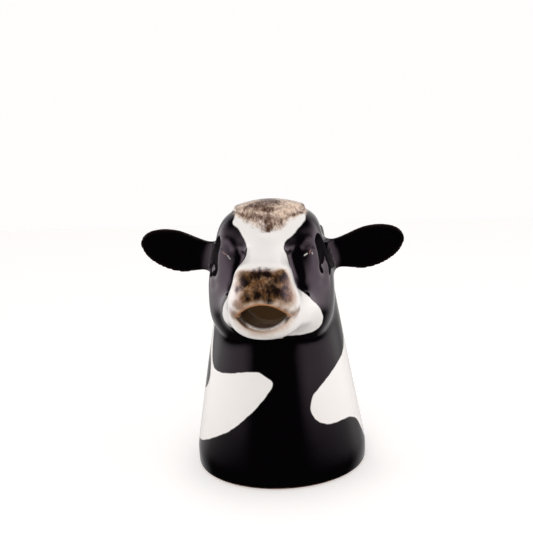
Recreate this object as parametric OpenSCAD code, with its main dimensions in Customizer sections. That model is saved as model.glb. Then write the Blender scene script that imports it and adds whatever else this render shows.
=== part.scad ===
// Cow creamer: a small slip-cast jug in the form of a cow's head and neck.
// The neck is the vessel and is filled through its rim, behind the head.
// The hollow head is the spout and pours through the mouth.
// Ears, eyes, poll tuft and handle are made apart and luted on with slip.
// +Z is up, the cow looks along -Y, and the origin is the middle of the foot.
// Left and right are the cow's own, so left is +X.

/* [Neck] */
// Height of the jug to the top of the tuft
jug_h = 104.5; // [96:0.5:114]
// Diameter of the foot
base_d = 65; // [56:1:74]
// Height of the straight band above the foot
band_h = 8; // [5:0.5:14]
// Drop from the top of the tuft to the middle of the rim
rim_drop = 15.5; // [12:0.5:19]
// Width of the rim, side to side
rim_w = 37; // [32:0.5:42]
// Reach of the rim behind the foot's axis
rim_back = 27; // [23:0.5:31]
// Reach of the rim ahead of the foot's axis
rim_front = 4; // [1:0.5:7]
// Fall of the rim towards the back, in degrees
rim_fall = 16; // [8:1:20]
// Thickness of the cast wall
wall = 3.2; // [2.6:0.1:3.8]
// Thickness of the floor above the table
floor_t = 4; // [3.5:0.5:6]
// Depth of the recess under the floor
recess_h = 1.4; // [0.6:0.1:2]
// Width of the ring that stands on the table
foot_ring_w = 5; // [3:0.5:8]
// Radius of the foot's outer edge
foot_edge_r = 1; // [0.5:0.1:2]

/* [Head] */
// Reach of the muzzle ahead of the foot's axis
head_reach = 51.5; // [48:0.5:55]
// Width across the brows
brow_w = 40; // [36:0.5:44]
// Width across the cheeks
cheek_w = 46.6; // [44:0.2:50]
// Width of the muzzle
muzzle_w = 27; // [24:0.5:30]
// Drop from the top of the tuft to the muzzle's top edge
muzzle_drop = 14.5; // [12.5:0.5:16.5]
// Drop from the top of the tuft to the chin's underside
chin_drop = 43.5; // [41.5:0.5:45.5]
// Drop from the top of the tuft to the underside of the cheeks, before they bed into the neck
cheek_drop = 53.5; // [51.5:0.5:55.5]
// Softness of the blends between the modelled forms
blend = 2.4; // [1.8:0.1:3]

/* [Mouth] */
// Width of the mouth between its corners
mouth_w = 17; // [14:0.5:19]
// Height of the mouth at its middle
mouth_h = 9.5; // [7:0.5:11]
// Drop from the top of the tuft to the mouth's corners
mouth_drop = 33; // [31.5:0.5:34.5]
// Width of the port between neck and head
port_w = 22; // [16:1:26]
// Height of the port between neck and head
port_h = 20; // [16:1:24]
// Drop from the top of the tuft to the port's middle
port_drop = 32; // [29.5:0.5:33.5]

/* [Ears] */
// Width over both ears
ear_span = 97.5; // [88:0.5:106]
// Greatest height of the ear's leaf
ear_leaf_h = 15.6; // [12:0.2:18]
// Height of the ear at its root
ear_root_h = 9; // [7:0.5:11]
// Thickness of the ear at its root
ear_t = 5; // [4:0.2:7]
// Depth of the hollow in the ear's front
ear_cup = 3.2; // [1:0.2:5]
// Rise of the ear from root to tip
ear_rise = 5.5; // [2:0.5:8]

/* [Handle] */
// Reach of the handle behind the foot's axis
handle_reach = 51.5; // [47:0.5:58]
// Drop from the top of the tuft to the handle's upper joint
handle_drop = 28.5; // [26.5:0.5:36.5]
// Height of the handle's lower joint above the table
handle_low_z = 28; // [22:1:36]
// Width of the handle's strap
handle_w = 10; // [7:0.5:14]
// Thickness of the handle's strap
handle_t = 6.2; // [5:0.2:8]
// Rise of the handle's bend above its upper joint
handle_lift = 8; // [2:0.5:12]

/* [Details] */
// Diameter of the ball that the eye pellets are pressed from
eye_d = 8.4; // [7:0.2:10]
// Height of the eyes above the face around them
eye_proud = 1.3; // [0.8:0.1:2]
// Spacing of the eyes, centre to centre
eye_spacing = 28; // [26:0.5:30]
// Drop from the top of the tuft to the middle of the eyes
eye_drop = 17.5; // [15.5:0.5:19.5]
// Thickness of the poll tuft
tuft_t = 1.2; // [1:0.1:2]
// Width of the poll tuft
tuft_w = 26; // [22:0.5:30]
// Length of the tuft's pointed front edge
tuft_tip = 14; // [9:0.5:16]

/* [Hidden] */

black_glaze = "#141216";
white_glaze = "#f2efec";
brown_sponge = "#8a6a4a";

// Straight-line mix of two values or points
function mix(a, b, t) = a + (b - a) * t;

// Turns a point about the X axis through the origin
function turn_x(p, a) = [p.x, p.y * cos(a) - p.z * sin(a), p.y * sin(a) + p.z * cos(a)];

// Faces of a skin over rings of n points, with both ends closed
function skin_faces(rings, n) = concat(
    [[for (j = [0:n - 1]) j]],
    [for (i = [0:rings - 2], j = [0:n - 1]) let (k = (j + 1) % n)
        each [[i * n + j, (i + 1) * n + j, (i + 1) * n + k], [i * n + j, (i + 1) * n + k, i * n + k]]],
    [[for (j = [n - 1:-1:0]) (rings - 1) * n + j]]);

// Closed solid over a list of rings
module skin(rings) {
    polyhedron([for (r = rings) each r], skin_faces(len(rings), len(rings[0])));
}

// Sculpted joints are cut on the skins: a resize by nothing keeps each piece's own size
module sculpted() {
    resize([0, 0, 0]) children();
}

// Neck: level oval rings that narrow, lean back and tip up at the front on their way to the rim
base_r = base_d / 2;
rim_z = jug_h - rim_drop;
neck_points = 56;
neck_rings = 16;
chest_curve = 2.5;
tip_curve = 2;

// Ring at share s of the way from the band to the rim, drawn in by inset and lifted by lift
function neck_ring(s, inset = 0, lift = 0) = let (
    half_w = mix(base_r, rim_w / 2, s) - inset,
    front = mix(base_r, rim_front, pow(s, chest_curve)),
    back = mix(base_r, rim_back, s),
    middle = (back - front) / 2,
    half_d = (back + front) / 2 - inset,
    z = mix(band_h, rim_z, s) + lift,
    fall = tan(rim_fall * pow(s, tip_curve)))
    [for (j = [0:neck_points - 1]) let (t = 360 * j / neck_points)
        [half_w * cos(t), middle + half_d * sin(t), z - half_d * sin(t) * fall]];

// Level ring about the foot's axis
function foot_ring(r, z) =
    [for (j = [0:neck_points - 1]) let (t = 360 * j / neck_points) [r * cos(t), r * sin(t), z]];

function neck_outside() = [for (i = [0:neck_rings]) neck_ring(i / neck_rings)];

// Neck with no hollow, for cutting the pieces that sit on it
module neck_solid() {
    skin(concat([foot_ring(base_r, 0)], neck_outside()));
}

// Way in through the rim, drawn in from the rim by inset and carried up past the head
module filling_way(inset) {
    rise = jug_h - rim_z + 2 * wall;
    skin([neck_ring(1, inset, -wall), neck_ring(1, inset, rise)]);
}

// Port through the neck's front wall into the head
module head_port() {
    translate([0, -base_r, jug_h - port_drop])
        rotate([-90, 0, 0])
            linear_extrude(base_r) scale([port_w / 2, port_h / 2]) circle(1, $fn = 48);
}

// Jug body: neck, floor and foot, cast in one
module neck_body() {
    foot_in = base_r - foot_ring_w;
    floor_r = base_r - wall;
    under = [
        foot_ring(foot_in - recess_h, recess_h),
        foot_ring(foot_in, 0),
        foot_ring(base_r - foot_edge_r, 0),
        foot_ring(base_r, foot_edge_r)];
    rim = [for (a = [30:30:150]) neck_ring(1, wall / 2 * (1 - cos(a)), wall / 2 * sin(a))];
    inside = [for (i = [neck_rings:-1:0]) neck_ring(i / neck_rings, wall)];
    floor_fillet = [for (a = [0:30:90])
        foot_ring(floor_r - wall * (1 - cos(a)), floor_t + wall * (1 - sin(a)))];
    color(black_glaze) sculpted() difference() {
        skin(concat(under, neck_outside(), rim, inside, floor_fillet));
        head_port();
    }
}

// Modelled forms of the head: centre, half sizes, droop of the front end in degrees, and squareness.
// A form off the middle stands for a pair.
skull_y = -10;
muzzle_y = 10 - head_reach;
muzzle_top_z = jug_h - muzzle_drop;
chin_z = jug_h - chin_drop;
cheek_z = jug_h - cheek_drop;
// The nose bridge and the lower jaw run from the skull into the muzzle
bridge_half = (skull_y - muzzle_y + 2.5) / 2;
bridge_y = skull_y - bridge_half;
jaw_half = (skull_y - muzzle_y + 2.5) / 2;
jaw_y = skull_y + 2 - jaw_half;
skull = [[0, skull_y, jug_h - 14.5], [brow_w / 2 - 1.5, 12, 11.5], 0, 3.2];
poll = [[0, skull_y + 1, jug_h - 9], [11, 7.5, 6], 0, 2.3];
cheeks = [[0, skull_y - 2, cheek_z + 19], [cheek_w / 2 - 0.2, 14.5, 18.5], 0, 3];
lower_jaw = [[0, jaw_y, chin_z + 8], [16, jaw_half, 9], -6, 2.3];
nose_bridge = [[0, bridge_y, muzzle_top_z - 4.5], [7.5, bridge_half, 7.5], 20, 2.4];
muzzle = [[0, muzzle_y, muzzle_top_z - 10.5], [muzzle_w / 2 - 3.7, 8, 9], -12, 4.2];
upper_lip = [[0, muzzle_y - 1, muzzle_top_z - 13.5], [muzzle_w / 2 - 2.4, 7, 4.5], -12, 2.4];
chin = [[0, muzzle_y + 2.5, chin_z + 7.5], [muzzle_w / 2 - 2.5, 8, 7], 0, 2.4];
eye_mound = [[eye_spacing / 2, skull_y - 6.5, jug_h - eye_drop], [4.5, 4.5, 5.5], 0, 2];
head_forms = [skull, poll, cheeks, lower_jaw, nose_bridge, muzzle, upper_lip, chin, eye_mound];

// Distance of p outside one form, along the line from the form's centre
function form_gap(p, f) = let (
    v = turn_x(p - f[0], -f[2]),
    q = [for (i = [0:2]) pow(abs(v[i] / f[1][i]), f[3])],
    k = pow(q[0] + q[1] + q[2], 1 / f[3]))
    k < 0.001 ? -min(f[1]) : norm(v) * (1 - 1 / k);

// Distance of p outside the head, with the forms blended like soft clay
function head_gap(p) = let (
    m = [abs(p.x), p.y, p.z],
    near = [for (f = head_forms) exp(-form_gap(m, f) / blend)],
    ones = [for (f = head_forms) 1])
    -blend * ln(near * ones);

// Length of a ray from o along d to where the head's skin lies at level, by halving the reach
halvings = 14;
function ray(o, d, level, lo = 0, hi = head_reach, steps = halvings) = let (m = (lo + hi) / 2)
    steps == 0 ? m
    : head_gap(o + m * d) < level ? ray(o, d, level, m, hi, steps - 1)
    : ray(o, d, level, lo, m, steps - 1);

// Point inside the head from which its skin is cast
head_heart = [0, skull_y - 8, muzzle_top_z - 11];

// Head at a level off its skin: 0 is the outside, less is inside the wall.
// Rings run from the tip of the nose to the back, closer together at the nose.
module head_form(level, rings, points) {
    skin([for (i = [0:rings]) let (a = mix(3, 176, pow(i / rings, 1.2)))
        [for (j = [0:points - 1]) let (
            t = 360 * j / points,
            d = [-sin(a) * cos(t), -cos(a), sin(a) * sin(t)])
            head_heart + d * ray(head_heart, d, level)]]);
}

// Outside of the head, or a skin that lies off it by level
outside_rings = 44;
outside_points = 52;
module head_outside(level = 0) {
    head_form(level, outside_rings, outside_points);
}

// Hollow of the head, a wall in from its outside
hollow_rings = 26;
hollow_points = 32;
module head_hollow() {
    head_form(-wall, hollow_rings, hollow_points);
}

// Lens-shaped mouth, cut through the muzzle from the front
module mouth_cut() {
    half_w = mouth_w / 2;
    half_h = mouth_h / 2;
    lip_r = (half_w * half_w + half_h * half_h) / mouth_h;
    depth = 6 * wall;
    translate([0, -head_reach - wall, jug_h - mouth_drop])
        rotate([-90, 0, 0])
            linear_extrude(depth) intersection_for (side = [-1, 1])
                translate([0, side * (lip_r - half_h)]) circle(lip_r, $fn = 64);
}

// Hollow head: the pouring spout, luted to the front of the neck
module head_casting() {
    back_wall = 1;
    color(white_glaze) sculpted() difference() {
        head_outside();
        difference() {
            head_hollow();
            filling_way(-back_wall);
        }
        mouth_cut();
        neck_solid();
        filling_way(wall);
    }
}

// Ear: a leaf with a hollow front, out from the side of the head
ear_y = skull_y + 4;
ear_z = jug_h - 21.7;
ear_root_x = brow_w / 2 - 4.5;
ear_len = ear_span / 2 - ear_root_x;
ear_rings = 16;
ear_points = 28;
ear_widest = 0.6;
ear_swell_curve = 1.5;
ear_hollow_from = 0.35;
ear_tip_thin = 0.55;
ear_rise_curve = 1.5;

// Height of the ear's leaf at share s from root to tip
function ear_height(s) = s < ear_widest
    ? mix(ear_root_h, ear_leaf_h, (1 - cos(180 * pow(s / ear_widest, ear_swell_curve))) / 2)
    : ear_leaf_h * sqrt(max(0, 1 - pow((s - ear_widest) / (1 - ear_widest), 2)));

// Ring of the ear at share s: an oval drawn back in its middle into a cup
function ear_ring(s) = let (
    tip_h = 0.4,
    h = max(tip_h, ear_height(s) / 2),
    t = ear_t / 2 * mix(1, ear_tip_thin, s) * min(1, h / ear_t),
    cup = ear_cup * min(1, s / ear_hollow_from) * min(1, 2 * h / ear_leaf_h),
    rise = ear_rise * pow(s, ear_rise_curve))
    [for (j = [0:ear_points - 1]) let (a = 360 * j / ear_points, v = cos(a))
        [ear_root_x + s * ear_len, ear_y - t * sin(a) + cup * (1 - v * v), ear_z + rise + h * v]];

// One ear: side is 1 for the left and -1 for the right
module ear(side) {
    color(black_glaze) sculpted() difference() {
        mirror([side < 0 ? 1 : 0, 0, 0])
            skin([for (i = [0:ear_rings]) ear_ring(sin(90 * i / ear_rings))]);
        head_outside();
        neck_solid();
    }
}

module left_ear() {
    ear(1);
}

module right_ear() {
    ear(-1);
}

// Eye pellet pressed into the face: side is 1 for the left and -1 for the right
module eye(side) {
    ahead = [0, -1, 0];
    start = [eye_spacing / 2, skull_y, jug_h - eye_drop];
    depth = ray(start, ahead, eye_proud - eye_d / 2);
    color(black_glaze) sculpted() difference() {
        mirror([side < 0 ? 1 : 0, 0, 0])
            translate(start + depth * ahead) sphere(d = eye_d, $fn = 32);
        head_outside();
    }
}

module left_eye() {
    eye(1);
}

module right_eye() {
    eye(-1);
}

// Tuft of hair on the poll: a thin sprig with a pointed front edge
module poll_tuft() {
    half_w = tuft_w / 2;
    brow_y = skull_y + 1;
    point_curve = 1.4;
    back_w = 0.8 * half_w;
    front_edge = [for (x = [-1:0.1:1]) [x * half_w, brow_y - tuft_tip * (1 - pow(abs(x), point_curve))]];
    color(brown_sponge) sculpted() difference() {
        intersection() {
            head_outside(tuft_t);
            translate([0, 0, rim_z])
                linear_extrude(jug_h - rim_z + 2 * tuft_t)
                    polygon(concat(front_edge, [[back_w, rim_front], [-back_w, rim_front]]));
        }
        head_outside();
        neck_solid();
        filling_way(wall);
    }
}

// Handle: an oval strap bent into a loop behind the neck
handle_rings = 30;
handle_points = 20;
handle_top_z = jug_h - handle_drop;

// Back of the neck at height z
function neck_back(z) = mix(base_r, rim_back, (z - band_h) / (rim_z - band_h));

// Middle of the strap at share t, on a cubic curve from the upper to the lower joint.
// The curve's two outer points lie as far back as brings its middle to the wanted reach.
function handle_line(t) = let (
    top = [neck_back(handle_top_z) - wall, handle_top_z],
    low = [neck_back(handle_low_z) - wall, handle_low_z],
    bow = (8 * (handle_reach - handle_t / 2) - top.x - low.x) / 6,
    out_top = [bow, handle_top_z + handle_lift],
    out_low = [bow, handle_low_z - handle_lift / 2])
    pow(1 - t, 3) * top + 3 * t * pow(1 - t, 2) * out_top + 3 * t * t * (1 - t) * out_low + pow(t, 3) * low;

// Oval ring of the strap at share t, square to its curve
function handle_ring(t) = let (
    step = 0.001,
    c = handle_line(t),
    along = handle_line(min(1, t + step)) - handle_line(max(0, t - step)),
    out = [along.y, -along.x] / norm(along))
    [for (j = [0:handle_points - 1]) let (a = 360 * j / handle_points, lift = handle_t / 2 * sin(a))
        [handle_w / 2 * cos(a), c.x + lift * out.x, c.y + lift * out.y]];

module handle() {
    color(black_glaze) sculpted() difference() {
        skin([for (i = [0:handle_rings]) handle_ring(i / handle_rings)]);
        neck_solid();
    }
}

neck_body();
head_casting();
left_ear();
right_ear();
left_eye();
right_eye();
poll_tuft();
handle();
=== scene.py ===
# Cow creamer: a small glazed jug in the form of a cow's head and neck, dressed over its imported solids.
import itertools
import math

import bpy
import numpy as np
import openvdb
from mathutils import Matrix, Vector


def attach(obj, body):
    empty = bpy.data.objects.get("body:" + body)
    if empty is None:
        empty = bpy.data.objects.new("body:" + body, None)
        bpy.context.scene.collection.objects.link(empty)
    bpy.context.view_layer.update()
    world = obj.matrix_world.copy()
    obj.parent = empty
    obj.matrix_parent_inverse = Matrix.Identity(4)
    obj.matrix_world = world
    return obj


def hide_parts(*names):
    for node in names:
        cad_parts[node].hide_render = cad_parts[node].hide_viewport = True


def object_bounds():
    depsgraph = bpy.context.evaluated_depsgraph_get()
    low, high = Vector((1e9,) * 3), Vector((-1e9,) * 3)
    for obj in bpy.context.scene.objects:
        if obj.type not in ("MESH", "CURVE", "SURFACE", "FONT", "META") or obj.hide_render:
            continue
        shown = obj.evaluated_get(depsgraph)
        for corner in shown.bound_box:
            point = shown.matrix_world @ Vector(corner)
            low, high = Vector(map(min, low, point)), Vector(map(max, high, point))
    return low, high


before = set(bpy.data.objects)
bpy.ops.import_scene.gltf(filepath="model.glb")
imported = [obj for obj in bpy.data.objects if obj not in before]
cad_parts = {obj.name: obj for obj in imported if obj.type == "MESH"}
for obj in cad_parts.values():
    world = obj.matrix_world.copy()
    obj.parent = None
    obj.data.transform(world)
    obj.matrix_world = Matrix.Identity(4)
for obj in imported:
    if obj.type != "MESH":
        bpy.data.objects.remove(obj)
cad_box = [list(corner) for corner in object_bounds()]
mm = 0.001

# Joined clay: two slip castings and six smaller pieces of white earthenware, luted together with slip.
# A wet brush rounds each joint and edge before firing, so the jug has one skin that runs over its joints.
# That skin is found first, on a grid of distances, and each piece then takes its own closed share of it.
grain = 0.75 * mm
grid_margin = 6
grid_reach = 12
large_brush = 0.8 * mm
small_brush = 0.3 * mm
brush_ends = 3
leaf_swell = 0.3 * mm
eye_press = 0.5 * mm

# How each piece is luted to those before it: its fillet of slip, its brush and how far it swells
luting = {
    "head_casting": (2.5 * mm, large_brush, 0),
    "left_ear": (5 * mm, small_brush, leaf_swell),
    "right_ear": (5 * mm, small_brush, leaf_swell),
    "handle": (6 * mm, large_brush, 0),
    "poll_tuft": (1.2 * mm, small_brush, leaf_swell),
    "left_eye": (2.0 * mm, small_brush, -eye_press),
    "right_eye": (2.0 * mm, small_brush, -eye_press),
}

lowest, highest = np.array(cad_box)
grid_first = np.floor(lowest / grain).astype(int) - grid_margin
grid_size = np.ceil(highest / grain).astype(int) + grid_margin + 1 - grid_first


def clay(node):
    """Distance from every grid point to one piece's surface, less than nothing inside it."""
    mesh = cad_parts[node].data
    mesh.calc_loop_triangles()
    places = np.empty(3 * len(mesh.vertices), np.float32)
    mesh.vertices.foreach_get("co", places)
    corners = np.empty(3 * len(mesh.loop_triangles), np.int32)
    mesh.loop_triangles.foreach_get("vertices", corners)
    levels = openvdb.FloatGrid.createLevelSetFromPolygons(
        places.reshape(-1, 3),
        triangles=corners.reshape(-1, 3).astype(np.uint32),
        transform=openvdb.createLinearTransform(voxelSize=grain),
        halfWidth=grid_reach)
    distances = np.full(grid_size, grid_reach * grain, np.float32)
    levels.copyToArray(distances, ijk=tuple(grid_first.tolist()))
    return distances


def luted(body, piece, fillet):
    """Two pieces of clay as one, with slip in the angle between them."""
    overlap = np.maximum(fillet - np.abs(body - piece), 0) / fillet
    return np.minimum(body, piece) - overlap * overlap * fillet / 4


def brushed(field, width):
    """A field after a soft brush of this width has gone over it along each axis."""
    reach = math.ceil(brush_ends * width / grain)
    steps = np.arange(-reach, reach + 1)
    weights = np.exp(-0.5 * (steps * grain / width) ** 2)
    weights /= weights.sum()
    for axis in range(3):
        field = sum(weight * np.roll(field, step, axis) for step, weight in zip(steps, weights))
    return field


def slope_of(field):
    """How steeply a field rises along each axis, at every grid point."""
    return np.stack(np.gradient(field, grain), axis=-1)


def unit(vectors):
    """Vectors of the same directions, each of length one."""
    return vectors / np.linalg.norm(vectors, axis=-1, keepdims=True)


def read(field, points):
    """Value of a field at any points, from the eight grid points around each."""
    place = points / grain - grid_first
    base = np.clip(np.floor(place).astype(int), 0, grid_size - 2)
    share = place - base
    total = 0
    for corner in itertools.product((0, 1), repeat=3):
        weight = np.prod(np.where(corner, share, 1 - share), axis=1)
        values = field[tuple((base + corner).T)]
        total = total + weight.reshape(-1, *[1] * (values.ndim - 1)) * values
    return total


def tooled(field, path, width, height):
    """Draws clay up along a path and its mirror image, or presses it in where the height is negative."""
    path, width = np.array(path) * mm, width * mm
    far = path.max(axis=0) + brush_ends * width
    near = path.min(axis=0) - brush_ends * width
    near[0] = -far[0]
    first, last = (np.round(corner / grain).astype(int) - grid_first for corner in (near, far))
    part = tuple(slice(start, end) for start, end in zip(first, last))
    x, y, z = (
        (np.arange(start, end) + offset) * grain for start, end, offset in zip(first, last, grid_first))
    points = np.stack(np.meshgrid(np.abs(x), y, z, indexing="ij"), axis=-1)
    nearest = np.full(points.shape[:3], np.inf)
    for start, end in zip(path[:-1], path[1:]):
        along = np.clip((points - start) @ (end - start) / ((end - start) @ (end - start)), 0, 1)
        away = points - start - along[..., None] * (end - start)
        nearest = np.minimum(nearest, np.linalg.norm(away, axis=-1))
    field[part] -= height * mm * np.exp(-(nearest / width) ** 2)


pieces = ["neck_body", *luting]
clays = [clay(piece) for piece in pieces]
skin = brushed(clays[0], large_brush)
for piece_clay, (fillet, brush, swell) in zip(clays[1:], luting.values()):
    skin = luted(skin, brushed(piece_clay, brush) - swell, fillet)

# Marks of the modelling tool on both sides of the face: the path, then its width and height
upper_lid = [
    (11.9, -23.1, 89.8), (12.4, -22.4, 91.3), (13.7, -21.6, 92.6), (15.2, -20.9, 92.8), (16.8, -20.0, 91.9)]
corner_fold = [(8.0, -26.3, 88.9), (8.6, -24.7, 90.0), (10.0, -23.4, 90.5), (11.3, -23.2, 89.7)]
cheek_groove = [
    (8.6, -26.0, 87.2), (9.0, -26.4, 85.2), (9.8, -26.7, 82.6), (10.7, -27.2, 79.8), (11.6, -28.6, 76.9)]
ear_hollow = [(19.4, -18.2, 90.5), (20.1, -18.2, 87.0), (20.4, -18.4, 84.0), (20.3, -19.3, 82.0)]
hollow_end = [(20.2, -19.8, 81.0), (19.9, -20.9, 78.6), (19.6, -21.8, 76.6)]
jowl = [(13.5, -28.0, 65.0), (15.5, -26.6, 65.0), (17.5, -25.2, 65.0)]
lip_crease = [(8.7, -47.4, 70.5), (11.1, -45.9, 71.7), (12.6, -45.0, 74.0), (12.9, -45.2, 76.6)]
marks = np.zeros_like(skin)
for path, width, height in (
        (upper_lid, 1.0, 0.25), (corner_fold, 1.0, 0.25), (cheek_groove, 2.0, -1.6), (ear_hollow, 2.5, -1.4),
        (hollow_end, 2.0, -0.5), (jowl, 6.0, 1.1), (lip_crease, 0.9, -0.15)):
    tooled(marks, path, width, height)

# The tool works on the outside only: no mark reaches the inner side of the head's wall
head_heart = np.array((0, -18, 79)) * mm
outside_rate = 2
grid_points = np.stack(np.meshgrid(*[
    (np.arange(size) + first) * grain for size, first in zip(grid_size, grid_first)], indexing="ij"), axis=-1)
outwards = np.sum(slope_of(skin) * unit(grid_points - head_heart), axis=-1)
marks *= np.clip(outside_rate * outwards + 0.5, 0, 1)
skin = skin + marks
slope = slope_of(skin)
mark_slope = slope_of(marks)
bend = sum(np.gradient(slope[..., axis], grain, axis=axis) for axis in range(3))
owner = np.where(skin < 0, np.argmin(np.stack(clays), axis=0) + 1, 0)

# A four-sided face lies across each grid edge whose two ends have different owners
cubes, lower_owner, upper_owner = [], [], []
for axis in range(3):
    below, above = (np.moveaxis(owner, axis, 0)[part] for part in (slice(None, -1), slice(1, None)))
    found = np.argwhere(below != above)
    lower_owner.append(below[tuple(found.T)])
    upper_owner.append(above[tuple(found.T)])
    edge = np.insert(found[:, 1:], axis, found[:, 0], axis=1)
    ring = np.repeat(edge[:, None], 4, axis=1)
    ring[:, (1, 2), (axis + 1) % 3] -= 1
    ring[:, (2, 3), (axis + 2) % 3] -= 1
    cubes.append(ring)
lower_owner = np.concatenate(lower_owner)
upper_owner = np.concatenate(upper_owner)
cubes = np.concatenate(cubes)
cube_order = np.ravel_multi_index(tuple(cubes.reshape(-1, 3).T), grid_size)
cube_numbers, faces = np.unique(cube_order, return_inverse=True)
faces = faces.reshape(-1, 4)
open_faces = faces[(lower_owner == 0) | (upper_owner == 0)]

# Each corner starts in the middle of its grid cube and slides straight onto the skin
slide_rounds = 6
slide_limit = 0.6 * grain
middles = (np.stack(np.unravel_index(cube_numbers, grid_size), axis=1) + grid_first + 0.5) * grain
places = middles.copy()
outer = np.unique(open_faces)
for _ in range(slide_rounds):
    here = read(slope, places[outer])
    slide = read(skin, places[outer])[:, None] * here / np.sum(here * here, axis=1, keepdims=True)
    places[outer] = np.clip(places[outer] - slide, middles[outer] - slide_limit, middles[outer] + slide_limit)

# Glaze flows level over the mould's small flats: each normal leans to its neighbours, but not over an edge.
# The tool marks are drawn after that, so that they stay crisp.
level_rounds = 18
level_limit = 0.03
normals = np.zeros_like(places)
normals[outer] = unit(read(slope - mark_slope, places[outer]))
pairs = np.concatenate([open_faces[:, (side, (side + 1) % 4)] for side in range(4)])
for _ in range(level_rounds):
    lean = np.sum(normals[pairs[:, 0]] * normals[pairs[:, 1]], axis=1)
    pull = np.exp((lean - 1) / level_limit)
    for axis in range(3):
        for here, there in (pairs.T, pairs.T[::-1]):
            normals[:, axis] += np.bincount(here, pull * normals[there, axis], len(places))
    normals[outer] = unit(normals[outer])
marked_normals = normals.copy()
marked_normals[outer] = unit(normals[outer] + read(mark_slope, places[outer]))
bends = read(bend, places)


class Share:
    """One piece's closed share of the jug, with what its paint needs to know at each corner."""

    def __init__(self, node, name):
        own = pieces.index(node) + 1
        around = np.concatenate([faces[lower_owner == own], faces[upper_owner == own][:, ::-1]])
        beyond = np.concatenate([upper_owner[lower_owner == own], lower_owner[upper_owner == own]])
        used, corners = np.unique(around, return_inverse=True)
        self.places = places[used] / mm
        self.normals = normals[used]
        self.mesh = bpy.data.meshes.new(name)
        self.mesh.from_pydata(places[used].tolist(), [], corners.reshape(-1, 4).tolist())
        self.mesh.polygons.foreach_set("use_smooth", beyond == 0)
        corner_normals = marked_normals[around] * (beyond == 0)[:, None, None]
        self.mesh.normals_split_custom_set(corner_normals.reshape(-1, 3).tolist())
        self.piece = bpy.data.objects.new(name, self.mesh)
        bpy.context.collection.objects.link(self.piece)
        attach(self.piece, "root")
        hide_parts(node)
        self.paint("bend", bends[used] * mm)

    def paint(self, name, values):
        """Keeps one value for the whole piece, or one at each corner, for the glaze to read."""
        layer = self.mesh.attributes.get(name) or self.mesh.attributes.new(name, "FLOAT", "POINT")
        layer.data.foreach_set("value", np.full(len(self.places), values, np.float32))


# Neck: the slip-cast vessel with its floor and foot, white earthenware under a black and white gloss glaze.
# White patches are painted round it as on a Friesian cow, the inside has a cream liner glaze,
# and the foot is wiped clean before firing, which leaves a thin line of bare clay above the table.
neck = Share("neck_body", "glazed_neck")
neck_radius = 29
right_patch = [
    (1, 40.5), (-3, 43), (-10, 44.6), (-20, 44.3), (-32, 43), (-44, 42), (-54, 42), (-62, 44), (-68, 49),
    (-74, 56), (-88, 64), (-108, 67), (-126, 58), (-137, 42), (-131, 26), (-112, 16), (-92, 11), (-74, 11.3),
    (-57, 14.4), (-40, 18.9), (-27, 23.5), (-13, 30.5), (-5, 35.5)]
right_notch = [
    (-63.5, 39), (-67, 34.2), (-77, 31.2), (-92, 30), (-108, 32), (-124, 30), (-150, 26), (-150, 56),
    (-126, 51), (-108, 47.5), (-95, 49), (-83, 48.4), (-69, 44.5)]
left_patch = [
    (27, 31.5), (31, 35.5), (44, 39.5), (60, 43), (76, 45.5), (92, 50), (108, 59), (125, 62), (140, 54),
    (147, 40), (141, 26), (127, 16), (111, 9), (98, 5), (89, 8.5), (83, 13), (75, 18.5), (63, 21.7),
    (50, 22.3), (40, 22.8), (32, 24.8), (27.5, 28)]


def outline(points, steps=8):
    """Smooth closed line through a few points."""
    here = np.array(points, float)
    before, after, beyond = (np.roll(here, turn, axis=0) for turn in (1, -1, -2))
    line = []
    for t in np.arange(steps) / steps:
        line.append((
            2 * here + (after - before) * t + (2 * before - 5 * here + 4 * after - beyond) * t ** 2
            + (3 * here - before - 3 * after + beyond) * t ** 3) / 2)
    return np.stack(line, axis=1).reshape(-1, 2)


def depth_inside(line, points):
    """How far each point lies inside a closed line, less than nothing outside it."""
    nearest = np.full(len(points), np.inf)
    inside = np.zeros(len(points), bool)
    for start, end in zip(line, np.roll(line, -1, axis=0)):
        run = end - start
        along = np.clip((points - start) @ run / (run @ run), 0, 1)
        nearest = np.minimum(nearest, np.hypot(*(points - start - along[:, None] * run).T))
        if run[1] != 0:
            crossing = start[0] + (points[:, 1] - start[1]) / run[1] * run[0]
            inside ^= ((start[1] > points[:, 1]) != (end[1] > points[:, 1])) & (points[:, 0] < crossing)
    return np.where(inside, nearest, -nearest)


def depth_in_patch(patch, turn, along, radius):
    """Depth inside a patch whose points are degrees round a piece of some radius, and places along it."""
    unrolled = math.radians(1) * radius
    return depth_inside(outline(patch) * (unrolled, 1), np.stack([unrolled * turn, along], axis=1))


neck_x, neck_y, neck_z = neck.places.T
neck_turn = np.degrees(np.arctan2(neck_x, -neck_y))
in_right, in_notch, in_left = (
    depth_in_patch(patch, neck_turn, neck_z, neck_radius) for patch in (right_patch, right_notch, left_patch))
neck.paint("white", np.minimum(np.maximum(in_right, in_left), -in_notch))

# The liner covers what faces the axis, the floor, and the front wall and rim that lie inside the head
all_liner = 1
no_liner = -1
neck_lean = 0.13
rim_brush = 1.5 * mm
floor_z = 12
floor_facing_up = 0.5
port_half_w = 13
port_z = 60.5
neck_axis = np.stack([0 * neck_z, neck_lean * neck_z, neck_z], axis=1)
rim_slope = slope_of(brushed(skin, rim_brush))
facing_in = -np.sum(unit(neck.places - neck_axis) * read(rim_slope, neck.places * mm), axis=1)
on_floor = (neck.normals[:, 2] > floor_facing_up) & (neck_z < floor_z)
behind_port = (np.abs(neck_x) < port_half_w) & (neck_y < 0) & (neck_z > port_z)
neck.paint("inside", np.where(on_floor | behind_port, all_liner, facing_in))


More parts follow.
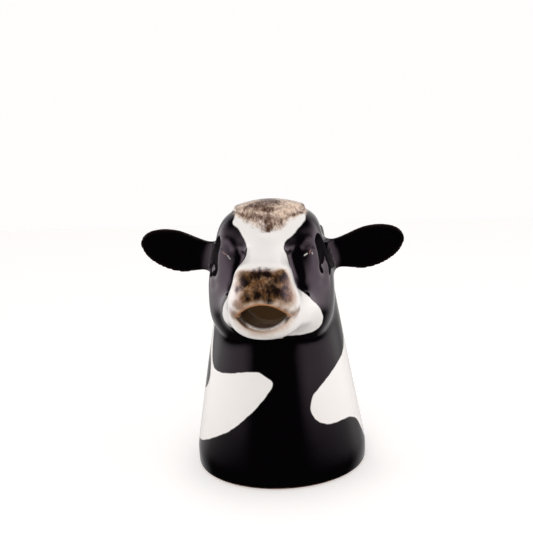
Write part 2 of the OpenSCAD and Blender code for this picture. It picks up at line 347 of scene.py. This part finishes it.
def add(tree, kind, inputs=None, **settings):
    """A shader node with its settings, and with values or links put into its inputs."""
    made = tree.nodes.new(kind)
    for name, value in settings.items():
        setattr(made, name, value)
    for name, value in (inputs or {}).items():
        if isinstance(value, bpy.types.NodeSocket):
            tree.links.new(value, made.inputs[name])
        else:
            made.inputs[name].default_value = value
    return made


def group(name, inputs, outputs):
    """An empty shader group with float or colour sockets, and its two end nodes."""
    tree = bpy.data.node_groups.new(name, "ShaderNodeTree")
    for direction, sockets in (("INPUT", inputs), ("OUTPUT", outputs)):
        for socket, kind in sockets.items():
            tree.interface.new_socket(socket, in_out=direction, socket_type=kind)
    return tree, tree.nodes.new("NodeGroupInput"), tree.nodes.new("NodeGroupOutput")


def soft_step(tree, value, start, end):
    """A smooth rise from 0 to 1 as a value goes from start to end."""
    step = add(tree, "ShaderNodeMapRange", {
        "Value": value, "From Min": start, "From Max": end}, interpolation_type="SMOOTHSTEP")
    return step.outputs["Result"]


def maths(tree, operation, first, *others):
    """Values put together in turn by one operation."""
    for other in others:
        first = add(tree, "ShaderNodeMath", {0: first, 1: other}, operation=operation).outputs[0]
    return first


def blend(tree, share, first, second):
    """A mix of two colours by a share."""
    return add(tree, "ShaderNodeMix", {0: share, 6: first, 7: second}, data_type="RGBA").outputs[2]


def mix(tree, share, first, second):
    """A mix of two values by a share."""
    return add(tree, "ShaderNodeMix", {0: share, 2: first, 3: second}, data_type="FLOAT").outputs[0]


def place_on(tree):
    """The piece's own coordinates at each point, in millimetres."""
    metres = add(tree, "ShaderNodeTexCoord").outputs["Object"]
    return add(tree, "ShaderNodeVectorMath", {0: metres, "Scale": 1 / mm}, operation="SCALE").outputs[0]


def axes_of(tree, place):
    """The X, Y and Z of a place or a direction."""
    return add(tree, "ShaderNodeSeparateXYZ", {"Vector": place}).outputs


def noise(tree, scale, detail, roughness=0.5, stretch=(1, 1, 1)):
    """Noise over the piece's own coordinates, from 0 to 1, with its scale in waves per millimetre."""
    stretched = add(tree, "ShaderNodeMapping", {"Vector": place_on(tree), "Scale": stretch}).outputs["Vector"]
    return add(tree, "ShaderNodeTexNoise", {
        "Vector": stretched, "Scale": scale, "Detail": detail, "Roughness": roughness}).outputs["Fac"]


def ragged(tree, value, waves, height):
    """A value that noise makes uneven, by half of a height up and down."""
    swing = maths(tree, "MULTIPLY", maths(tree, "SUBTRACT", waves, 0.5), height)
    return maths(tree, "ADD", value, swing)


def layer(tree, name):
    """A value painted on the piece."""
    return add(tree, "ShaderNodeAttribute", attribute_name=name).outputs["Fac"]


# Coat: black and white glazes that meet in a slightly wavy line, the liner, and black that breaks brown.
# Here and below, a fade is a pair of values: where a paint starts and where it is full.
black_glaze = (0.0014, 0.0011, 0.0015, 1)
broken_glaze = (0.07, 0.032, 0.022, 1)
broken_share = 0.1
broken_fade = (0.6, 1.4)
white_glaze = (0.88, 0.85, 0.825, 1)
cloudy_glaze = (0.8536, 0.8245, 0.80025, 1)
liner_glaze = (0.60, 0.44, 0.27, 1)
liner_fade = (-0.1, 0.35)
edge_wave = 0.7
edge_blur = 0.22
coat_group, coat_in, coat_out = group(
    "Patched coat",
    {"White": "NodeSocketFloat", "Inside": "NodeSocketFloat", "Bend": "NodeSocketFloat"},
    {"Color": "NodeSocketColor", "Liner share": "NodeSocketFloat"})
waves = noise(coat_group, scale=0.35, detail=2)
wavy_edge = ragged(coat_group, coat_in.outputs["White"], waves, edge_wave)
white_share = soft_step(coat_group, wavy_edge, -edge_blur, edge_blur)
sharp = soft_step(coat_group, coat_in.outputs["Bend"], *broken_fade)
black_coat = blend(coat_group, maths(coat_group, "MULTIPLY", sharp, broken_share), black_glaze, broken_glaze)
white_coat = blend(coat_group, noise(coat_group, scale=0.12, detail=3), cloudy_glaze, white_glaze)
coat = blend(coat_group, white_share, black_coat, white_coat)
liner_share = soft_step(coat_group, coat_in.outputs["Inside"], *liner_fade)
coat_group.links.new(blend(coat_group, liner_share, coat, liner_glaze), coat_out.inputs["Color"])
coat_group.links.new(liner_share, coat_out.inputs["Liner share"])

# Glaze surface: long low waves where the glaze ran, and faint pitting
pit_depth = 0.03
smooth_rough = 0.02
pitted_rough = 0.045
surface_group, _, surface_out = group(
    "Glaze surface", {}, {"Height": "NodeSocketFloat", "Roughness": "NodeSocketFloat"})
runs = noise(surface_group, scale=0.10, detail=1)
pits = noise(surface_group, scale=1.6, detail=2)
heights = maths(surface_group, "ADD", runs, maths(surface_group, "MULTIPLY", pits, pit_depth))
surface_group.links.new(heights, surface_out.inputs["Height"])
surface_group.links.new(mix(surface_group, pits, smooth_rough, pitted_rough), surface_out.inputs["Roughness"])

glaze_ior = 1.5
mirror_tint = (1.0, 0.76, 0.94, 1)
run_strength = 0.15
run_height = 0.4 * mm


def glaze(name, gloss=0.5):
    """A glaze material: its tree, its shader and its surface group, with no colour yet."""
    material = bpy.data.materials.new(name)
    material.use_nodes = True
    tree = material.node_tree
    shader = tree.nodes["Principled BSDF"]
    shader.inputs["IOR"].default_value = glaze_ior
    shader.inputs["Specular IOR Level"].default_value = gloss
    shader.inputs["Specular Tint"].default_value = mirror_tint
    surface = add(tree, "ShaderNodeGroup", node_tree=surface_group)
    relief = add(tree, "ShaderNodeBump", {
        "Height": surface.outputs["Height"], "Strength": run_strength, "Distance": run_height})
    tree.links.new(relief.outputs["Normal"], shader.inputs["Normal"])
    return material, tree, shader, surface


def coat_of(tree):
    """The patched coat in a material, fed from the piece's own painted values."""
    return add(tree, "ShaderNodeGroup", {
        "White": layer(tree, "white"), "Inside": layer(tree, "inside"), "Bend": layer(tree, "bend"),
    }, node_tree=coat_group)


bare_clay = (0.42, 0.26, 0.17, 1)
bare_height = 0.8
bare_wave = 0.8
bare_blur = 0.2
clay_rough = 0.75
liner_rough = 0.6


def patched_glaze(name, gloss):
    """The patched coat as a material, wiped off to bare clay at the foot."""
    material, tree, shader, surface = glaze(name, gloss)
    height = axes_of(tree, place_on(tree))["Z"]
    wiped = ragged(tree, height, noise(tree, scale=0.5, detail=3), -bare_wave)
    glazed = soft_step(tree, wiped, bare_height - bare_blur, bare_height + bare_blur)
    patched = coat_of(tree)
    colour = blend(tree, glazed, bare_clay, patched.outputs["Color"])
    tree.links.new(colour, shader.inputs["Base Color"])
    rough = mix(tree, patched.outputs["Liner share"], surface.outputs["Roughness"], liner_rough)
    tree.links.new(mix(tree, glazed, clay_rough, rough), shader.inputs["Roughness"])
    return material


coat_glaze = patched_glaze("coat_glaze", gloss=0.14)
neck.mesh.materials.append(coat_glaze)

# Head: the hollow spout, slip cast in one with its muzzle, chin and cheeks, and luted to the neck's front.
# A white blaze widens over the muzzle and one side of the jaw, brown is sponged on the nose under the glaze,
# and the glaze runs thin and brown along the upper lip. Painted shade darkens the lower lip's edge and
# corners, the lip creases and the inside of the spout.
head = Share("head_casting", "glazed_head")
head_x, head_y, head_z = head.places.T
head_axis_z = 78
head_radius = 14.3
crease_w = 0.5
blaze = [
    (-27, 8), (-27, -14), (-31, -19), (-28, -22), (-27, -27.5), (-31, -33), (-42, -37.5), (-60, -37),
    (-80, -35), (-105, -33), (-130, -30), (-155, -27), (-190, -26), (-215, -65), (215, -65), (190, -27),
    (165, -26), (150, -24.6), (138, -23.4), (128, -24), (118, -26.4), (109, -30), (98, -31.3), (84, -29.5),
    (67, -26.8), (46, -27.5), (29, -28.5), (25.6, -25), (31, -21.8), (34, -18.2), (31, -10.8), (31, 8)]
head_turn = np.degrees(np.arctan2(head_x, head_z - head_axis_z))
in_blaze = depth_in_patch(blaze, head_turn, head_y, head_radius)
above_crease = read(clays[0], head.places * mm) / mm - crease_w
head.paint("white", np.minimum(in_blaze, above_crease))

# The nose, its dark dabs, the lips' stains and the painted shade in the lip creases are drawn from the front,
# and fade over the muzzle's edges
nose_pad = [
    (-6.9, 86.1), (-5.4, 87.0), (-2.5, 87.6), (0.9, 88.0), (4.3, 87.1), (6.3, 87.4), (8.8, 86.0),
    (9.3, 82.9), (9.8, 79.9), (10.2, 77.8), (6.8, 78.2), (3.8, 78.6), (1.5, 78.8), (-1.9, 78.7),
    (-5.4, 78.2), (-6.4, 80.2), (-6.5, 83.3), (-6.8, 84.8)]
nose_dabs = [
    (-5.8, 85.1, 0.8), (-4.9, 84.2, 0.6), (2.6, 86.9, 0.9), (1.6, 86.8, 0.6), (8.2, 85.8, 0.9),
    (6.9, 85.2, 1.0), (5.4, 84.3, 0.8), (3.9, 82.6, 1.0), (8.2, 81.9, 0.7), (2.9, 80.9, 0.8),
    (4.3, 81.6, 0.9), (5.6, 80.9, 0.9), (7.2, 80.9, 0.7), (7.9, 79.7, 0.9), (-1.2, 79.8, 0.7),
    (-4.3, 79.3, 0.8), (2.5, 78.2, 0.6), (-1.8, 86.5, 0.7), (-0.1, 87.1, 0.7), (-3.4, 86.2, 0.6),
    (-8.0, 81.8, 0.3)]
# Brown stains round the lips; the three at the mouth's corners are painted shade in the lip creases
lip_stains_and_crease_shade = [
    (-9.9, 72.2, 1.6), (-7.6, 76.0, 1.6), (-5.4, 77.9, 1.2), (-1.9, 78.3, 1.0), (5.7, 75.0, 1.0),
    (7.9, 73.7, 1.0), (10.6, 71.9, 1.0), (12.2, 72.4, 0.9)]
nose_top_z = 87.4
nose_side_y = -46
lip_side_y = -43
top_rate = 3.6
nose_rate = 1.5
lip_rate = 0.8
over_top = top_rate * (head_z - nose_top_z).clip(0)
past_nose = nose_rate * (head_y - nose_side_y).clip(0)
past_lips = lip_rate * (head_y - lip_side_y).clip(0)
in_nose = depth_inside(outline(nose_pad), head.places[:, (0, 2)])
head.paint("nose", in_nose - over_top - past_nose)
for name, dabs, fade in (("dab", nose_dabs, past_nose), ("stain_and_crease_shade", lip_stains_and_crease_shade, past_lips)):
    in_dab = np.max([size - np.hypot(head_x - x, head_z - z) for x, z, size in dabs], axis=0)
    head.paint(name, in_dab - fade)

# The liner covers what faces the head's middle and the back of the poll, but not the edge of the lower lip
mouth_z = 71.5
mouth_half_w = 8.5
mouth_half_h = 4.75
lip_radius = (mouth_half_w ** 2 + mouth_half_h ** 2) / (2 * mouth_half_h)
lip_drop = lip_radius - mouth_half_h
lip_edge = 0.9
rim_below = 0.3
muzzle_y = -36
poll_back_z = 84
poll_facing_back = 0.3
facing_heart = -np.sum(unit(head.places - head_heart / mm) * head.normals, axis=1)
from_centres = [np.hypot(head_x, head_z - mouth_z + drop) for drop in (lip_drop, -lip_drop)]
from_mouth = np.maximum(*from_centres) - lip_radius
lower_rim = (head_y < muzzle_y) & (head_z < mouth_z - rim_below) & (from_mouth < lip_edge)
facing_back = head.normals[:, 1] > poll_facing_back
behind_poll = (np.abs(head_x) < port_half_w) & (head_z > poll_back_z) & facing_back
head.paint("inside", np.where(behind_poll, all_liner, np.where(lower_rim, no_liner, facing_heart)))

face_glaze, face_tree, face_shader, face_surface = glaze("face_glaze")
# Painted shade: the liner inside the hollow head is painted a dark brown
spout_painted_shade = (0.27, 0.155, 0.075, 1)
sponge_haze = (0.60, 0.44, 0.33, 1)
sponge_wash = (0.29, 0.17, 0.09, 1)
sponge_pale = (0.115, 0.048, 0.010, 1)
sponge_and_shade_brown = (0.032, 0.012, 0.004, 1)
sponge_dark = (0.005, 0.0022, 0.0014, 1)
lip_brown = (0.42, 0.19, 0.075, 1)
# Brown for the lips' stains and for painted shade under and beside the mouth
stain_and_shade_brown = (0.20, 0.105, 0.06, 1)
face_x, face_y, face_z = axes_of(face_tree, place_on(face_tree))
coarse = noise(face_tree, scale=0.30, detail=3, roughness=0.6)
fine = noise(face_tree, scale=0.6, detail=4, roughness=0.65)
streaks = noise(face_tree, scale=0.45, detail=4, roughness=0.7, stretch=(1, 1, 0.6))

# Lips: a thin brown line over the mouth where the glaze runs thin, then painted shade: a fainter line under
# the mouth and brown in the corners of the lower lip
lip_end = 9.2
lip_blur = 0.6
upper_line_fade = (1.25, 0.8)
lower_shade_inner_fade = (0.25, 0.6)
lower_shade_outer_fade = (1.9, 0.7)
lower_shade_side_fade = (12, -8)
right_corner_shade_fade = (-4.6, -6.6)
left_corner_shade_fade = (6.8, 8.2)
corner_shade_outer_fade = (1.7, 0.8)
at_front = soft_step(face_tree, face_y, muzzle_y, muzzle_y - 1)
on_upper_lip = soft_step(face_tree, face_z, mouth_z - lip_blur, mouth_z)
on_lower_lip = soft_step(face_tree, face_z, mouth_z, mouth_z - lip_blur)


def lip_arc(centre_z):
    """Distance outside one of the two arcs of the mouth, seen from the front."""
    seen = add(face_tree, "ShaderNodeCombineXYZ", {
        "X": face_x, "Z": maths(face_tree, "SUBTRACT", face_z, centre_z)}).outputs[0]
    away = add(face_tree, "ShaderNodeVectorMath", {0: seen}, operation="LENGTH").outputs["Value"]
    return maths(face_tree, "SUBTRACT", away, lip_radius)


above_mouth = lip_arc(mouth_z - lip_drop)
below_mouth = lip_arc(mouth_z + lip_drop)
from_middle = maths(face_tree, "ABSOLUTE", face_x, 0)
past_end = maths(face_tree, "MAXIMUM", maths(face_tree, "SUBTRACT", from_middle, lip_end), 0)
from_lip = maths(face_tree, "ADD", above_mouth, past_end)
upper_line = maths(
    face_tree, "MULTIPLY", on_upper_lip, at_front, soft_step(face_tree, from_lip, *upper_line_fade))
# Painted shade: a faint brown line along the outside of the lower lip
lower_lip_shade = maths(
    face_tree, "MULTIPLY", on_lower_lip, at_front, soft_step(face_tree, face_x, *lower_shade_side_fade),
    soft_step(face_tree, below_mouth, *lower_shade_inner_fade),
    soft_step(face_tree, below_mouth, *lower_shade_outer_fade))
# Painted shade: dark brown in the corners of the lower lip
right_corner_shade = soft_step(face_tree, face_x, *right_corner_shade_fade)
left_corner_shade = soft_step(face_tree, face_x, *left_corner_shade_fade)
corners = maths(
    face_tree, "MULTIPLY", on_lower_lip, at_front, maths(face_tree, "MAXIMUM", right_corner_shade, left_corner_shade),
    soft_step(face_tree, below_mouth, *corner_shade_outer_fade))

# Nose: a haze that spreads from the sponge to the lips, then a wash, mottled brown and dark dabs over it
nose_rag = 4.5
lip_rag = 4
nose_haze_fade = (-6.5, 0.5)
lip_haze_fade = (4.2, 0.6)
mouth_fade = (0.2, 0.7)
stain_and_shade_fade = (-1.8, 1.2)
wash_fade = (-4.0, 0.5)
pad_fade = (-1.5, 1.0)
dab_fade = (-1.9, 0.5)
pale_fade = (0.34, 0.56)
streak_fade = (0.46, 0.62)
pad_cover = 0.95
nose_depth = ragged(face_tree, layer(face_tree, "nose"), coarse, nose_rag)
stain_and_shade_depth = ragged(face_tree, layer(face_tree, "stain_and_crease_shade"), coarse, lip_rag)
dab_depth = ragged(face_tree, layer(face_tree, "dab"), streaks, nose_rag)
lip_way = ragged(face_tree, maths(face_tree, "MAXIMUM", above_mouth, below_mouth), coarse, lip_rag)
out_of_mouth = maths(face_tree, "MAXIMUM", on_upper_lip, soft_step(face_tree, below_mouth, *mouth_fade))
lip_haze = maths(face_tree, "MULTIPLY", at_front, out_of_mouth, soft_step(face_tree, lip_way, *lip_haze_fade))
haze = maths(face_tree, "MAXIMUM", soft_step(face_tree, nose_depth, *nose_haze_fade), lip_haze)
stain_and_crease_shade = soft_step(face_tree, stain_and_shade_depth, *stain_and_shade_fade)
wash = soft_step(face_tree, nose_depth, *wash_fade)
pad = soft_step(face_tree, nose_depth, *pad_fade)
dark = soft_step(face_tree, dab_depth, *dab_fade)
mottled = blend(face_tree, soft_step(face_tree, fine, *pale_fade), sponge_wash, sponge_pale)
mottled = blend(face_tree, soft_step(face_tree, streaks, *streak_fade), mottled, sponge_and_shade_brown)

# The paints in turn: where each lies, how far it covers what is under it, and its colour.
# The hair and the strokes of the eyes come over them, in the sections of those pieces.
# Painted shade inside the spout: the liner turns dark brown towards the front of the head
spout_shade_fade = (-2, -10)
face_coat = coat_of(face_tree)
in_spout_shade = maths(
    face_tree, "MULTIPLY", face_coat.outputs["Liner share"], soft_step(face_tree, face_y, *spout_shade_fade))
face_colour = face_coat.outputs["Color"]
for share, cover, colour in (
        # painted shade inside the spout
        (in_spout_shade, 1, spout_painted_shade),
        (haze, 0.75, sponge_haze),
        # stains round the lips, partly painted shade in the lip creases
        (stain_and_crease_shade, 0.85, stain_and_shade_brown),
        (wash, 0.75, sponge_wash),
        (pad, pad_cover, mottled),
        (dark, 0.95, sponge_dark),
        # painted shade along the lower lip and in its corners
        (lower_lip_shade, 0.8, stain_and_shade_brown),
        (corners, 0.85, sponge_and_shade_brown),
        (upper_line, 0.85, lip_brown)):
    face_colour = blend(face_tree, maths(face_tree, "MULTIPLY", share, cover), face_colour, colour)
sponge_rough = 0.22
pad_share = maths(face_tree, "MULTIPLY", pad, pad_cover)
sponged_rough = mix(face_tree, pad_share, face_surface.outputs["Roughness"], sponge_rough)
face_rough = mix(face_tree, face_coat.outputs["Liner share"], sponged_rough, liner_rough)
face_tree.links.new(face_rough, face_shader.inputs["Roughness"])
head.mesh.materials.append(face_glaze)

# Ears: two leaves of clay with a hollow front, pressed in a small mould and luted to the sides of the head.
# They are black all over, and the glaze breaks brown along their thin edges.
ear_glaze = patched_glaze("ear_glaze", gloss=0.25)
all_black = -9
for side in ("left", "right"):
    ear = Share(f"{side}_ear", f"glazed_{side}_ear")
    ear.paint("white", all_black)
    ear.paint("inside", no_liner)
    ear.mesh.materials.append(ear_glaze)

# Handle: a strap of clay bent into a loop and luted to the back of the neck at its two ends.
# It is black like the neck round it, with one white patch over its bend.
handle = Share("handle", "glazed_handle")
patch_low_z = 46
patch_high_z = 66
handle_z = handle.places[:, 2]
handle.paint("white", np.minimum(handle_z - patch_low_z, patch_high_z - handle_z))
handle.paint("inside", no_liner)
handle.mesh.materials.append(coat_glaze)

# Poll tuft: a thin sprig of clay laid over the top of the head, with a pointed front edge like a forelock.
# Brown is dabbed and drawn over its white ground in short strokes that run down to the point,
# and a few of the strokes run past its edge onto the head.
tuft = Share("poll_tuft", "glazed_poll_tuft")
all_white = 9
forelock = [
    (-12.5, -10), (-11, -16), (-7, -19.8), (-2.2, -22.2), (0.2, -23.4), (1.4, -23.6), (2.6, -23.2),
    (5, -21.8), (9.5, -18.7), (13, -14.5), (13.4, -9), (12, 10), (-12, 10)]
brown_dabs = [
    (0.9, -22.5, 2.4), (0.7, -17.5, 2.6), (-2.5, -14, 4.8), (-0.5, -9, 3.8), (2.6, -12, 2.8), (-6, -15, 2.4)]
fringe_w = 0.9
fringe_brown = 0.6
no_hair = -9
head_hair_z = 94
for share, lowest_hair in ((tuft, 0), (head, head_hair_z)):
    hair_x, hair_y, hair_z = share.places.T
    in_forelock = depth_inside(outline(forelock), share.places[:, :2])
    under_hair = np.where(hair_z > lowest_hair, in_forelock, no_hair)
    brownest = np.max([
        np.exp(-((hair_x - x) ** 2 + (hair_y - y) ** 2) / size ** 2) for x, y, size in brown_dabs], axis=0)
    fringe = np.exp(-((under_hair - fringe_w) / fringe_w) ** 2)
    share.paint("hair", under_hair)
    share.paint("brown", np.maximum(brownest, fringe_brown * fringe))
tuft.paint("white", all_white)
tuft.paint("inside", no_liner)

hair_tan = (0.77, 0.59, 0.46, 1)
hair_brown = (0.105, 0.045, 0.022, 1)
hair_dark = (0.055, 0.024, 0.013, 1)
hair_rag = 4
brown_rag = 1.6
flecked_rag = 2.4
strand_brown = 0.20
ground_fade = (-1.2, 0.6)
brown_fade = (-0.25, 0.95)
strand_fade = (0.64, 0.76)
ground_cover = 0.95
strand_cover = 0.85
hair_group, hair_in, hair_out = group(
    "Drawn hair",
    {"Color": "NodeSocketColor", "Hair": "NodeSocketFloat", "Brown": "NodeSocketFloat"},
    {"Color": "NodeSocketColor"})
clumps = noise(hair_group, scale=0.28, detail=4, roughness=0.65)
flecks = noise(hair_group, scale=0.75, detail=4, roughness=0.7, stretch=(1, 0.6, 0.6))
strands = noise(hair_group, scale=1.5, detail=4, roughness=0.7, stretch=(1, 0.3, 0.3))
hair_depth = ragged(hair_group, hair_in.outputs["Hair"], clumps, hair_rag)
ground = soft_step(hair_group, hair_depth, *ground_fade)
brown_depth = ragged(hair_group, hair_in.outputs["Brown"], clumps, brown_rag)
browned = soft_step(hair_group, ragged(hair_group, brown_depth, flecks, flecked_rag), *brown_fade)
strand_depth = maths(hair_group, "ADD", strands, maths(hair_group, "MULTIPLY", brown_depth, strand_brown))
drawn = soft_step(hair_group, strand_depth, *strand_fade)
warm_ground = blend(hair_group, browned, hair_tan, hair_brown)
ground_share = maths(hair_group, "MULTIPLY", ground, ground_cover)
strand_share = maths(hair_group, "MULTIPLY", drawn, ground, strand_cover)
hair_ground = blend(hair_group, ground_share, hair_in.outputs["Color"], warm_ground)
hair_group.links.new(blend(hair_group, strand_share, hair_ground, hair_dark), hair_out.inputs["Color"])


def haired(tree, colour):
    """A piece's colour with the hair drawn over it, where the piece is painted for hair."""
    return add(tree, "ShaderNodeGroup", {
        "Color": colour, "Hair": layer(tree, "hair"), "Brown": layer(tree, "brown"),
    }, node_tree=hair_group).outputs["Color"]


tuft_glaze, tuft_tree, tuft_shader, tuft_surface = glaze("tuft_glaze", gloss=0.15)
tuft_colour = haired(tuft_tree, coat_of(tuft_tree).outputs["Color"])
tuft_tree.links.new(tuft_colour, tuft_shader.inputs["Base Color"])
tuft_tree.links.new(tuft_surface.outputs["Roughness"], tuft_shader.inputs["Roughness"])
tuft.mesh.materials.append(tuft_glaze)

# Eyes: two pellets of clay pressed onto the brows, black like the coat round them.
# A fine brush adds a red-brown corner to each under the glaze, and a white catchlight is painted on each as
# its highlight, brighter on one eye.
eye_glaze, eye_tree, eye_shader, eye_surface = glaze("eye_glaze")
painted_highlight = (0.52, 0.50, 0.48, 1)
dim_painted_highlight = (0.30, 0.29, 0.28, 1)
corner_red = (0.16, 0.07, 0.05, 1)
corner_buff = (0.20, 0.12, 0.085, 1)
# Strokes seen from the front: start, end, width and colour; the white strokes are painted highlights
eye_strokes = [
    ((13.5, 87.0), (14.3, 87.5), 0.5, painted_highlight),
    ((15.2, 87.6), (15.6, 88.6), 0.4, corner_red),
    ((16.1, 87.7), (16.3, 87.2), 0.4, dim_painted_highlight),
    ((-15.9, 88.5), (-14.7, 87.8), 0.4, corner_buff),
    ((-14.2, 87.4), (-13.3, 86.3), 0.5, dim_painted_highlight),
]
stroke_blur = 0.12
eye_front_y = -19


def brush_stroke(tree, start, end, width):
    """Share of a short straight brush stroke at each point, seen from the front."""
    run = (end[0] - start[0], 0, end[1] - start[1])
    seen = add(tree, "ShaderNodeVectorMath", {
        0: place_on(tree), 1: (1, 0, 1)}, operation="MULTIPLY").outputs[0]
    reach = add(tree, "ShaderNodeVectorMath", {
        0: seen, 1: (start[0], 0, start[1])}, operation="SUBTRACT").outputs[0]
    dot = add(tree, "ShaderNodeVectorMath", {0: reach, 1: run}, operation="DOT_PRODUCT").outputs["Value"]
    along = add(tree, "ShaderNodeMath", {
        0: dot, 1: run[0] ** 2 + run[2] ** 2}, operation="DIVIDE", use_clamp=True).outputs[0]
    nearest = add(tree, "ShaderNodeVectorMath", {0: run, "Scale": along}, operation="SCALE").outputs[0]
    away = add(tree, "ShaderNodeVectorMath", {0: reach, 1: nearest}, operation="DISTANCE").outputs["Value"]
    return soft_step(tree, away, width / 2 + stroke_blur, width / 2 - stroke_blur)


# The strokes are a group, because they run past the pellets onto the face
eye_group, eye_in, eye_out = group("Painted eye", {"Color": "NodeSocketColor"}, {"Color": "NodeSocketColor"})
on_front = maths(eye_group, "LESS_THAN", axes_of(eye_group, place_on(eye_group))["Y"], eye_front_y)
eye_colour = eye_in.outputs["Color"]
for start, end, width, colour in eye_strokes:
    stroke = maths(eye_group, "MULTIPLY", brush_stroke(eye_group, start, end, width), on_front)
    eye_colour = blend(eye_group, stroke, eye_colour, colour)
eye_group.links.new(eye_colour, eye_out.inputs["Color"])
for tree, shader, under in (
        (eye_tree, eye_shader, coat_of(eye_tree).outputs["Color"]),
        (face_tree, face_shader, haired(face_tree, face_colour))):
    painted = add(tree, "ShaderNodeGroup", {"Color": under}, node_tree=eye_group)
    tree.links.new(painted.outputs["Color"], shader.inputs["Base Color"])
eye_tree.links.new(eye_surface.outputs["Roughness"], eye_shader.inputs["Roughness"])
for side in ("left", "right"):
    eye = Share(f"{side}_eye", f"glazed_{side}_eye")
    eye.paint("white", all_black)
    eye.paint("inside", no_liner)
    eye.mesh.materials.append(eye_glaze)

# Studio: a pale table top in a dim room, with a tall wall of soft light at each side, one lamp over the
# camera and one over the jug. The camera side of the room stays dark, which is what the front of the
# black glaze shows.
floor_half = 0.42
floor_mesh = bpy.data.meshes.new("table_top")
floor_corners = [(x * floor_half, y * floor_half, 0) for x, y in ((-1, -1), (1, -1), (1, 1), (-1, 1))]
floor_mesh.from_pydata(floor_corners, [], [(0, 1, 2, 3)])
floor = bpy.data.objects.new("table_top", floor_mesh)
bpy.context.collection.objects.link(floor)
floor.visible_glossy = False
studio_white = (1.0, 0.985, 0.98, 1)
paper_white = (0.80, 0.785, 0.775, 1)
paper_rough = 0.9
paper_gloss = 0.1
paper_glow = 0.365
paper = bpy.data.materials.new("table_paper")
paper.use_nodes = True
paper_tree = paper.node_tree
paper_shader = paper_tree.nodes["Principled BSDF"]
paper_shader.inputs["Base Color"].default_value = paper_white
paper_shader.inputs["Roughness"].default_value = paper_rough
paper_shader.inputs["Specular IOR Level"].default_value = paper_gloss
paper_shader.inputs["Emission Color"].default_value = studio_white
seen_paper = add(paper_tree, "ShaderNodeLightPath").outputs["Is Camera Ray"]
seen_glow = maths(paper_tree, "MULTIPLY", seen_paper, paper_glow)
paper_tree.links.new(seen_glow, paper_shader.inputs["Emission Strength"])
floor_mesh.materials.append(paper)

# The room as the jug sees it: two walls, the back, and a fill that lights the clay but isn't mirrored
room_light = 0.02
fill_light = 0.31
wall_light = 2.2
back_light = 0.6
wall_side_fade = (0.58, 0.90)
wall_foot_fade = (-0.42, 0.04)
wall_top_fade = (0.72, 0.22)
back_fade = (0.3, 0.8)
world = bpy.data.worlds.new("studio")
world.use_nodes = True
bpy.context.scene.world = world
world_tree = world.node_tree
backdrop = world_tree.nodes["Background"]
backdrop.inputs["Color"].default_value = studio_white
way_x, way_y, way_z = axes_of(world_tree, add(world_tree, "ShaderNodeTexCoord").outputs["Generated"])
level_square = maths(world_tree, "SUBTRACT", 1, maths(world_tree, "POWER", way_z, 2))
level_part = maths(world_tree, "POWER", level_square, 0.5)
sideways = maths(world_tree, "DIVIDE", maths(world_tree, "ABSOLUTE", way_x, 0), level_part)
walls = maths(
    world_tree, "MULTIPLY", wall_light, soft_step(world_tree, sideways, *wall_side_fade),
    soft_step(world_tree, way_z, *wall_foot_fade), soft_step(world_tree, way_z, *wall_top_fade))
back = maths(world_tree, "MULTIPLY", back_light, soft_step(world_tree, way_y, *back_fade))
rays = add(world_tree, "ShaderNodeLightPath")
unmirrored = maths(world_tree, "SUBTRACT", 1, rays.outputs["Is Glossy Ray"])
fill = maths(world_tree, "MULTIPLY", unmirrored, fill_light)
room = maths(world_tree, "ADD", walls, back, room_light, fill)
brightness = mix(world_tree, rays.outputs["Is Camera Ray"], room, 1)
world_tree.links.new(brightness, backdrop.inputs["Strength"])


def set_up(thing, place, across, up, back):
    """Puts a lamp or camera at a place, with its own three directions."""
    bpy.context.collection.objects.link(thing)
    thing.matrix_world = Matrix([[*row, 0] for row in (across, up, back)] + [[*place, 1]]).transposed()


lamp_width = 0.5
lamp_height = 0.4
lamp_colour = (1, 0.99, 0.98)
jug_middle = (0, 0, 0.05)


def softbox(name, place, radiance, mirrored):
    """A rectangular lamp turned to the jug, as bright as its radiance says, mirrored by the glaze or not."""
    lamp = bpy.data.lights.new(name, "AREA")
    lamp.shape = "RECTANGLE"
    lamp.size, lamp.size_y = lamp_width, lamp_height
    lamp.energy = radiance * math.pi * lamp_width * lamp_height
    lamp.color = lamp_colour
    back = unit(np.subtract(place, jug_middle))
    across = unit(np.cross((0, 0, 1), back))
    thing = bpy.data.objects.new(name, lamp)
    set_up(thing, place, across, np.cross(back, across), back)
    thing.visible_glossy = mirrored


softbox("front_lamp", place=(0.05, -0.62, 0.45), radiance=2.2, mirrored=False)
softbox("top_softbox", place=(0, -0.05, 0.75), radiance=1.4, mirrored=True)

# Camera: a short telephoto on a tripod, a little to the cow's left and above it.
# It looks down a few degrees and is not quite level, as in the photograph.
camera_turn = 5.6
camera_distance = 460 * mm
camera_height = 195 * mm
camera_pan = 0.35
camera_pitch = 14.38
camera_roll = 2.7
camera = bpy.data.objects.new("camera", bpy.data.cameras.new("camera"))
camera.data.lens = 85
turn, pan, pitch, roll = (
    math.radians(angle) for angle in (camera_turn, camera_turn + camera_pan, camera_pitch, camera_roll))
camera_place = (camera_distance * math.sin(turn), -camera_distance * math.cos(turn), camera_height)
ahead = np.array([-math.sin(pan) * math.cos(pitch), math.cos(pan) * math.cos(pitch), -math.sin(pitch)])
level = np.array([math.cos(pan), math.sin(pan), 0])
upright = np.cross(level, ahead)
across = level * math.cos(roll) - upright * math.sin(roll)
up = upright * math.cos(roll) + level * math.sin(roll)
set_up(camera, camera_place, across, up, -ahead)
bpy.context.scene.camera = camera
bpy.context.scene.view_settings.view_transform = "Standard"
